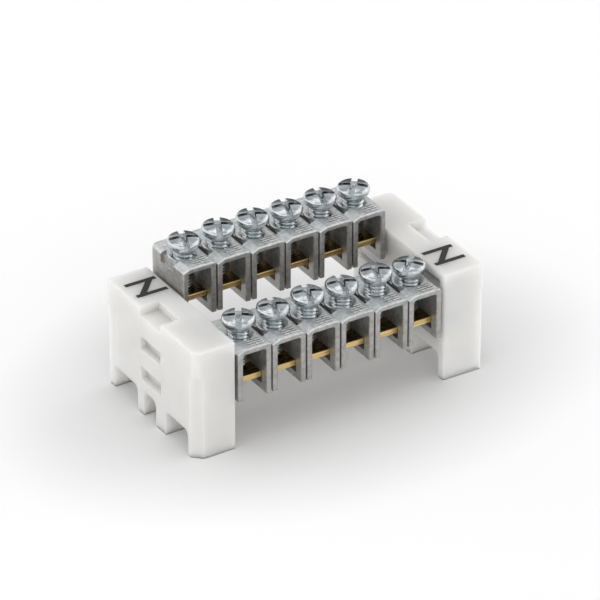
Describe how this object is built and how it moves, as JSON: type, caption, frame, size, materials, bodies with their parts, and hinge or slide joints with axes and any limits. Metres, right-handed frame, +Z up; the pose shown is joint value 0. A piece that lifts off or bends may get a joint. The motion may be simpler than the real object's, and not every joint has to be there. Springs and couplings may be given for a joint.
{
  "type": "two-tier neutral terminal bar",
  "caption": "Stepped neutral terminal bar: cage clamps with screws hang on two brass bars held by white moulded end holders.",
  "frame": {"origin": "centre of the footprint, on the ground that the end holders stand on", "axes": "+X along the bars, to the right seen from the front; +Y from the low front row to the high rear row; +Z up"},
  "size_m": [0.0762, 0.039, 0.0387],
  "materials": {
    "holder_plastic": "milky white moulded nylon, slightly see-through",
    "bar_brass": "drawn strip, sheared ends",
    "clamp_zinc": "plated zinc die casting, satin grey",
    "screw_steel": "bright zinc-plated steel"
  },
  "bodies": {
    "terminal_block": {"holder_left": "holder_plastic", "holder_right": "holder_plastic", "bar_front": "bar_brass", "bar_rear": "bar_brass", "clamp_front_1": "clamp_zinc", "clamp_front_2": "clamp_zinc", "clamp_front_3": "clamp_zinc", "clamp_front_4": "clamp_zinc", "clamp_front_5": "clamp_zinc", "clamp_front_6": "clamp_zinc", "clamp_rear_1": "clamp_zinc", "clamp_rear_2": "clamp_zinc", "clamp_rear_3": "clamp_zinc", "clamp_rear_4": "clamp_zinc", "clamp_rear_5": "clamp_zinc", "clamp_rear_6": "clamp_zinc"},
    "front_1": {"screw_front_1": "screw_steel"},
    "front_2": {"screw_front_2": "screw_steel"},
    "front_3": {"screw_front_3": "screw_steel"},
    "front_4": {"screw_front_4": "screw_steel"},
    "front_5": {"screw_front_5": "screw_steel"},
    "front_6": {"screw_front_6": "screw_steel"},
    "rear_1": {"screw_rear_1": "screw_steel"},
    "rear_2": {"screw_rear_2": "screw_steel"},
    "rear_3": {"screw_rear_3": "screw_steel"},
    "rear_4": {"screw_rear_4": "screw_steel"},
    "rear_5": {"screw_rear_5": "screw_steel"},
    "rear_6": {"screw_rear_6": "screw_steel"}
  },
  "joints": [
    {"name": "front_1_thread", "type": "slide", "parent": "terminal_block", "child": "front_1", "axis": [0, 0, 1], "range_m": [-0.00088, 0.00467]},
    {"name": "front_2_thread", "type": "slide", "parent": "terminal_block", "child": "front_2", "axis": [0, 0, 1], "range_m": [-0.0008, 0.00475]},
    {"name": "front_3_thread", "type": "slide", "parent": "terminal_block", "child": "front_3", "axis": [0, 0, 1], "range_m": [-0.0014, 0.00415]},
    {"name": "front_4_thread", "type": "slide", "parent": "terminal_block", "child": "front_4", "axis": [0, 0, 1], "range_m": [-0.00108, 0.00447]},
    {"name": "front_5_thread", "type": "slide", "parent": "terminal_block", "child": "front_5", "axis": [0, 0, 1], "range_m": [-0.00161, 0.00394]},
    {"name": "front_6_thread", "type": "slide", "parent": "terminal_block", "child": "front_6", "axis": [0, 0, 1], "range_m": [-0.00057, 0.00498]},
    {"name": "rear_1_thread", "type": "slide", "parent": "terminal_block", "child": "rear_1", "axis": [0, 0, 1], "range_m": [-0.00008, 0.00547]},
    {"name": "rear_2_thread", "type": "slide", "parent": "terminal_block", "child": "rear_2", "axis": [0, 0, 1], "range_m": [-0.00077, 0.00478]},
    {"name": "rear_3_thread", "type": "slide", "parent": "terminal_block", "child": "rear_3", "axis": [0, 0, 1], "range_m": [-0.00068, 0.00487]},
    {"name": "rear_4_thread", "type": "slide", "parent": "terminal_block", "child": "rear_4", "axis": [0, 0, 1], "range_m": [-0.00036, 0.00519]},
    {"name": "rear_5_thread", "type": "slide", "parent": "terminal_block", "child": "rear_5", "axis": [0, 0, 1], "range_m": [-0.00058, 0.00497]},
    {"name": "rear_6_thread", "type": "slide", "parent": "terminal_block", "child": "rear_6", "axis": [0, 0, 1], "range_m": [-0.00029, 0.00526]}
  ]
}
